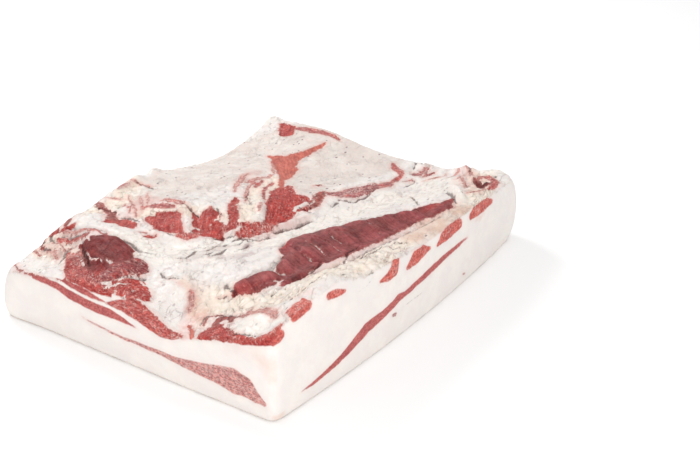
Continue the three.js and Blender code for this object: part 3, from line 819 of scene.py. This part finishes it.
class Value:
    """A number socket that Python's operators work on."""

    def __init__(self, recipe, socket):
        self.recipe = recipe
        self.socket = socket

    def sums(self, operation, first, second):
        return self.recipe.add("ShaderNodeMath", {"operation": operation}, {0: first, 1: second})

    def __add__(self, other):
        return self.sums("ADD", self, other)

    def __radd__(self, other):
        return self.sums("ADD", other, self)

    def __sub__(self, other):
        return self.sums("SUBTRACT", self, other)

    def __rsub__(self, other):
        return self.sums("SUBTRACT", other, self)

    def __mul__(self, other):
        return self.sums("MULTIPLY", self, other)

    def __rmul__(self, other):
        return self.sums("MULTIPLY", other, self)


class Recipe:
    """A material's node tree, built one node at a time."""

    def __init__(self, name):
        self.material = bpy.data.materials.new(name)
        self.material.use_nodes = True
        self.nodes = self.material.node_tree.nodes
        self.links = self.material.node_tree.links
        self.nodes.clear()

    def add(self, kind, settings=None, sockets=None, out=0):
        node = self.nodes.new(kind)
        for name, value in (settings or {}).items():
            if name == "stops":
                self.set_stops(node.color_ramp, value)
            else:
                setattr(node, name, value)
        for key, value in (sockets or {}).items():
            if isinstance(value, Value):
                self.links.new(value.socket, node.inputs[key])
            else:
                node.inputs[key].default_value = value
        return Value(self, node.outputs[out] if node.outputs else None)

    @staticmethod
    def set_stops(ramp, stops):
        while len(ramp.elements) < len(stops):
            ramp.elements.new(0.5)
        for element, (place, colour) in zip(ramp.elements, stops):
            element.position = place
            element.color = (*colour, 1)

    def smooth(self, value, low, high):
        settings = {"interpolation_type": "SMOOTHSTEP"}
        return self.add("ShaderNodeMapRange", settings, {"Value": value, "From Min": low, "From Max": high})

    def mix(self, share, first, second, how="MIX"):
        settings = {"data_type": "RGBA", "blend_type": how}
        first = first if isinstance(first, Value) else (*first, 1)
        second = second if isinstance(second, Value) else (*second, 1)
        return self.add("ShaderNodeMix", settings, {0: share, 6: first, 7: second}, 2)

    def scaled(self, vector, factors):
        settings = {"operation": "MULTIPLY"}
        return self.add("ShaderNodeVectorMath", settings, {0: vector, 1: factors})

    def noise(self, vector, scale, detail=3.0, rough=0.55, warp=0.0):
        sockets = {"Vector": vector, "Scale": scale, "Detail": detail, "Roughness": rough, "Distortion": warp}
        return self.add("ShaderNodeTexNoise", {}, sockets)

    def noise_vector(self, vector, scale, reach):
        """A vector that wanders by about half the reach each way."""
        wander = self.add("ShaderNodeTexNoise", {}, {"Vector": vector, "Scale": scale, "Detail": 3.0}, 1)
        return self.scaled(wander, (reach, reach, reach))

    def cells(self, vector, scale, feature="F1", out=0):
        return self.add("ShaderNodeTexVoronoi", {"feature": feature}, {"Vector": vector, "Scale": scale}, out)

    def stored(self, name, out=2):
        return self.add("ShaderNodeAttribute", {"attribute_name": name}, {}, out)

    def bump(self, height, strength, distance, before=None):
        sockets = {"Height": height, "Strength": strength, "Distance": distance}
        if before is not None:
            sockets["Normal"] = before
        return self.add("ShaderNodeBump", {}, sockets)

    def finish(self, sockets):
        shader = self.add("ShaderNodeBsdfPrincipled", {"subsurface_method": "RANDOM_WALK"}, sockets)
        self.add("ShaderNodeOutputMaterial", {}, {"Surface": shader})
        return self.material


def belly_material():
    r = Recipe("belly")
    place = r.add("ShaderNodeTexCoord", {}, {}, 3)
    mm = r.scaled(place, (1000, 1000, 1000))
    lean = r.stored("lean")
    marble = r.stored("marble")
    torn = r.stored("torn")
    crease = r.stored("crease")
    lumpy = r.stored("lumpy")
    meat = r.stored("meat", 0)
    fat = r.stored("fat", 0)
    grain = r.stored("grain", 1)

    # Where the lean is, with an edge that is crisp on the cut sides and ragged on top.
    tatter = r.noise(mm, 0.32, 4, 0.65) - 0.5
    nibble = r.noise(mm, 1.1, 2, 0.6) - 0.5
    edge = lean + tatter * (1.2 + torn * 4.0) + nibble * (0.5 + torn * 2.4)
    body = r.smooth(edge, torn * 0.45 - 0.8, 0.8 - torn * 0.4)

    # Fibres run along each muscle, and white threads run between them.
    long_fibres = r.noise(r.scaled(grain, (0.035, 0.45, 1)), 1.0, 4, 0.6, 0.4)
    fine_fibres = r.noise(r.scaled(grain, (0.12, 1.5, 1)), 1.0, 3, 0.6, 0.6)
    cut_grain = r.noise(r.scaled(mm, (1, 1, 1.6)), 0.4, 4, 0.7)
    clods = r.noise(mm, 0.3, 5, 0.68, 0.8)
    depth = torn * (long_fibres * 0.5 + clods * 0.5) + (1 - torn) * cut_grain
    weave = r.noise(mm, 0.16, 4, 0.65, 1.2)
    tangle = r.add("ShaderNodeVectorMath", {"operation": "ADD"}, {0: mm, 1: r.noise_vector(mm, 0.25, 4.0)})
    net = r.cells(r.scaled(tangle, (0.7, 0.7, 1.0)), 0.42, "DISTANCE_TO_EDGE")
    vein = r.smooth(net + (weave - 0.5) * 0.3, 0.12, 0.0) * r.smooth(marble + (weave - 0.5) * 2.2, 0.5, 1.0)
    thread = r.noise(r.scaled(grain, (0.045, 0.15, 1)), 1.0, 3, 0.6, 1.0) - 0.5
    line = r.smooth(thread * thread, 0.0005, 0.00003) * r.smooth(weave + marble * 0.6, 0.62, 0.95)
    white_in_lean = r.add("ShaderNodeMath", {"operation": "MAXIMUM"}, {0: vein * 0.75, 1: line * 0.8})
    # Painted shade and highlight: the lean is darker where its fibre and clod noise is low and lighter where it is
    # high, the same noise that raises its bump.
    shade = 0.55 + (r.smooth(depth, 0.35, 0.66) - 0.55) * (0.62 + marble)
    shaded_meat = r.mix(1.0, meat, (0.48, 0.34, 0.36), "MULTIPLY")
    highlit_meat = r.mix(0.2, meat, (0.78, 0.24, 0.19))
    lean_colour = r.mix(shade, shaded_meat, highlit_meat)
    # Partly painted highlight: pale streaks along the fine fibres are both pale fibre and the wet gleam along them.
    lean_colour = r.mix(r.smooth(fine_fibres, 0.52, 0.78) * 0.16, lean_colour, (0.72, 0.30, 0.27))
    blot = r.smooth(r.noise(mm, 0.07, 3, 0.6), 0.48, 0.7)
    lean_colour = r.mix(blot * 0.6, lean_colour, r.mix(1.0, meat, (0.58, 0.45, 0.5), "MULTIPLY"))
    fresh = r.smooth(r.noise(mm, 0.085, 4, 0.65), 0.5, 0.66) * r.smooth(marble, 0.2, 0.35)
    lean_colour = r.mix(fresh * torn * 0.4, lean_colour, (0.64, 0.075, 0.06))
    thin = r.smooth(edge, 2.6, 0.0) * torn
    lean_colour = r.mix(thin * r.smooth(weave, 0.35, 0.65) * 0.5, lean_colour, (0.60, 0.27, 0.23))
    fleck = r.smooth(r.noise(mm, 0.5, 3, 0.6, 0.8), 0.55, 0.66) * r.smooth(marble, 0.22, 0.6)
    lean_colour = r.mix(fleck * torn * 0.8, lean_colour, (0.80, 0.46, 0.40))
    # Painted shade: small dark spots in the torn, marbled lean stand for shade in its pits.
    pit_shade = r.smooth(r.noise(mm, 0.34, 4, 0.7, 0.8), 0.46, 0.34) * torn * r.smooth(marble, 0.2, 0.4)
    lean_colour = r.mix(pit_shade * 0.75, lean_colour, r.mix(1.0, meat, (0.42, 0.26, 0.30), "MULTIPLY"))
    lean_colour = r.mix(white_in_lean * 0.8, lean_colour, (0.70, 0.52, 0.47))

    # Fat: mottled, blushing near the lean, grey in patches, wrinkled where it is soft with painted shade in the
    # wrinkles, with small vessels in the film, and with painted shade in its furrows and hollows.
    mottle = r.noise(mm, 0.05, 4, 0.6)
    fat_colour = r.mix(r.smooth(mottle, 0.38, 0.68) * 0.5, fat, colours().snow)
    blush = r.noise(mm, 0.11, 4, 0.65)
    fat_colour = r.mix(r.smooth(blush, 0.5, 0.78) * (0.06 + torn * 0.22), fat_colour, (0.74, 0.48, 0.42))
    near_lean = r.smooth(edge, -5.0, 0.0)
    fat_colour = r.mix(near_lean * (0.1 + torn * weave * 0.55), fat_colour, (0.70, 0.36, 0.31))
    # Grey-brown patches darken the torn top in a noise pattern, more where the fat is lumpy.
    grey_patches = r.smooth(r.noise(mm, 0.16, 5, 0.7, 0.8), 0.56, 0.74)
    fat_colour = r.mix(grey_patches * torn * (0.12 + lumpy * 0.16), fat_colour, (0.45, 0.32, 0.29))
    # Partly painted shade: thin seams in the torn fat are dented and darkened brown, tissue colour with shade in them.
    hair = r.noise(mm, 0.055, 4, 0.6, 1.4) - 0.5
    seam = r.smooth(hair * hair, 0.00045, 0.00003) * r.smooth(r.noise(mm, 0.045, 2), 0.5, 0.62)
    fat_colour = r.mix(seam * torn * (0.15 + lumpy * 0.6), fat_colour, (0.34, 0.20, 0.18))
    vessel = r.cells(r.scaled(mm, (1, 1.6, 1)), 0.085)
    rare = r.smooth(r.noise(mm, 0.03, 1), 0.3, 0.46)
    halo = r.smooth(vessel, 0.3, 0.12) * torn * r.smooth(lumpy, 0.5, 0.2) * rare
    fat_colour = r.mix(halo * 0.35, fat_colour, colours().snow)
    vessels = r.smooth(vessel + nibble * 0.14 + tatter * 0.12, 0.17, 0.1) * torn * r.smooth(lumpy, 0.5, 0.2) * rare
    fat_colour = r.mix(vessels * 0.85, fat_colour, (0.20, 0.10, 0.11))
    # Partly painted shade: crumpled wrinkle lines in the torn fat are dented and darkened, tissue colour with shade in
    # them, more where the fat is lumpy.
    crumple = r.cells(r.scaled(tangle, (0.7, 1.3, 1.0)), 0.11, "DISTANCE_TO_EDGE")
    wrinkle = r.smooth(crumple, 0.07, 0.0) * r.smooth(r.noise(mm, 0.07, 2), 0.42, 0.62) * torn
    fat_colour = r.mix(wrinkle * (0.06 + lumpy * 0.38), fat_colour, (0.42, 0.27, 0.23))
    # Painted shade with blood: the creases, folds and hollows darken the fat to the furrow colour and darken the lean
    # by a multiply.
    furrow = r.smooth(crease + nibble * 0.7 + tatter * 0.9, 0.35, 0.95)
    fat_colour = r.mix(furrow * 0.8, fat_colour, colours().furrow)
    lean_colour = r.mix(furrow * 0.8, lean_colour, r.mix(1.0, lean_colour, (0.22, 0.16, 0.16), "MULTIPLY"))

    # The rind at the foot of the sides and under the slab.
    height = r.add("ShaderNodeSeparateXYZ", {}, {0: mm}, 2)
    thick = sizes().rind / MM
    rind = r.smooth(height + tatter * 1.2, thick, thick - 0.9)
    pores = r.smooth(r.cells(mm, 0.33), 0.1, 0.3)
    skin = r.mix(r.smooth(r.noise(mm, 0.04, 5, 0.6), 0.35, 0.7), colours().rind, (0.80, 0.70, 0.62))
    skin = r.mix((1 - pores) * 0.4, skin, (0.42, 0.32, 0.27))
    colour = r.mix(body, fat_colour, lean_colour)
    colour = r.mix(rind * 0.8, colour, skin)

    # Light: wet, with grain raised by bump.
    gloss = 0.34 + r.noise(mm, 0.25, 3) * 0.16 + body * 0.04 + (1 - torn) * 0.06
    coat = r.smooth(r.noise(mm, 0.09, 3), 0.35, 0.7) * (0.05 + torn * 0.25) * (1 - body)
    grainy = long_fibres * 0.35 + fine_fibres * 0.15 + clods * 0.5
    cut_face = cut_grain * 0.5 + vein * 0.4
    lean_height = torn * grainy + (1 - torn) * cut_face
    fat_height = r.noise(mm, 0.28, 6, 0.62, 0.6) * (0.3 + torn * 0.9)
    dents = furrow * 0.6 + seam * torn * 0.5 + wrinkle * 0.6 + (1 - pores) * rind * 0.5
    rise = body * lean_height + (1 - body) * fat_height - dents
    normal = r.bump(rise, 0.7, 1.3 * MM)
    normal = r.bump(body * (0 - 1.0) + white_in_lean * 0.3, 0.35, 0.4 * MM, normal)
    return r.finish({
        "Base Color": colour, "Roughness": gloss, "Coat Weight": coat, "Normal": normal, "Coat Roughness": 0.18,
        "Subsurface Weight": 0.12, "Subsurface Radius": (1.0, 0.4, 0.3), "Subsurface Scale": 2.5 * MM, "IOR": 1.42,
        "Specular IOR Level": 0.18,
    })


def floor_material():
    r = Recipe("table")
    place = r.add("ShaderNodeTexCoord", {}, {}, 3)
    tone = r.noise(place, 6, 3)
    colour = r.mix(tone * 0.04, (0.97, 0.97, 0.97), (0.92, 0.92, 0.92))
    return r.finish({"Base Color": colour, "Roughness": 0.9, "Specular IOR Level": 0.1})


# Operators.


class BELLY_OT_slab(bpy.types.Operator):
    """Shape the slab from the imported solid: its muscles, fat, furrows and rind"""

    bl_idname = "belly.slab"
    bl_label = "Belly slab"
    bl_options = {"REGISTER", "UNDO"}

    def execute(self, context):
        piece = copy_of_node(NODE, "belly")
        apply_modifier(piece, "SUBSURF", levels=2, render_levels=2)
        cell = sizes().cell * 1
        apply_modifier(piece, "REMESH", mode="VOXEL", voxel_size=cell)
        apply_modifier(piece, "SMOOTH", factor=0.5, iterations=2)
        paint_and_shape(piece.data)
        flatten_foot(piece)
        select_only(piece)
        bpy.ops.object.shade_smooth()
        finish_piece(piece, belly_material())
        return {"FINISHED"}


def add_light(name, place, aim, size, power):
    bpy.ops.object.light_add(type="AREA", location=place)
    lamp = bpy.context.object
    lamp.name = name
    lamp.rotation_euler = (Vector(aim) - Vector(place)).to_track_quat("-Z", "Y").to_euler()
    lamp.data.size = size
    lamp.data.energy = power
    return lamp


class BELLY_OT_stage(bpy.types.Operator):
    """Lay the floor and set the lights and the camera"""

    bl_idname = "belly.stage"
    bl_label = "Stage"
    bl_options = {"REGISTER", "UNDO"}

    def execute(self, context):
        bpy.ops.object.select_all(action="DESELECT")
        bpy.ops.mesh.primitive_plane_add(size=24, location=(0, 0, 0))
        floor = context.object
        floor.name = "floor"
        floor.data.materials.append(floor_material())
        world = bpy.data.worlds.new("studio")
        world.use_nodes = True
        world.node_tree.nodes["Background"].inputs["Color"].default_value = (1, 1, 1, 1)
        world.node_tree.nodes["Background"].inputs["Strength"].default_value = 0.76
        context.scene.world = world
        add_light("overhead", (0.3, 0.9, 0.9), (0, 0, 0), 0.5, 7.5)
        add_light("front", (-1.25, -1.1, 0.9), (0, 0, 0.03), 0.8, 15.2)
        context.scene.view_settings.view_transform = "Standard"
        bpy.ops.object.camera_add(location=(-895.25 * MM, -696.45 * MM, 638.73 * MM))
        camera = context.object
        camera.name = "camera"
        heading, dip = math.radians(34.6), math.radians(27.5)
        look = Vector((math.cos(dip) * math.cos(heading), math.cos(dip) * math.sin(heading), -math.sin(dip)))
        camera.rotation_euler = look.to_track_quat("-Z", "Y").to_euler()
        camera.data.sensor_width = 36
        camera.data.lens = 72.7
        camera.data.clip_start = 0.01
        camera.data.clip_end = 60
        context.scene.camera = camera
        return {"FINISHED"}


class BELLY_PT_panel(bpy.types.Panel):
    """Lists the slab's sizes and colours, and the operators that build it"""

    bl_idname = "BELLY_PT_panel"
    bl_label = "Pork belly slab"
    bl_space_type = "VIEW_3D"
    bl_region_type = "UI"
    bl_category = "Belly"

    def draw(self, context):
        for group in (context.scene.belly_sizes, context.scene.belly_colours):
            box = self.layout.box()
            for name in group.bl_rna.properties.keys():
                if name not in ("rna_type", "name"):
                    box.prop(group, name)
        for operator in OPERATORS:
            self.layout.operator(operator.bl_idname)


OPERATORS = (BELLY_OT_slab, BELLY_OT_stage)
CLASSES = (BellySizes, BellyColours, *OPERATORS, BELLY_PT_panel)


def register():
    for cls in CLASSES:
        bpy.utils.register_class(cls)
    bpy.types.Scene.belly_sizes = bpy.props.PointerProperty(type=BellySizes)
    bpy.types.Scene.belly_colours = bpy.props.PointerProperty(type=BellyColours)


def unregister():
    del bpy.types.Scene.belly_sizes
    del bpy.types.Scene.belly_colours
    for cls in reversed(CLASSES):
        bpy.utils.unregister_class(cls)


def main():
    register()
    bpy.ops.belly.slab()
    bpy.ops.belly.stage()


if __name__ == "__main__":
    main()
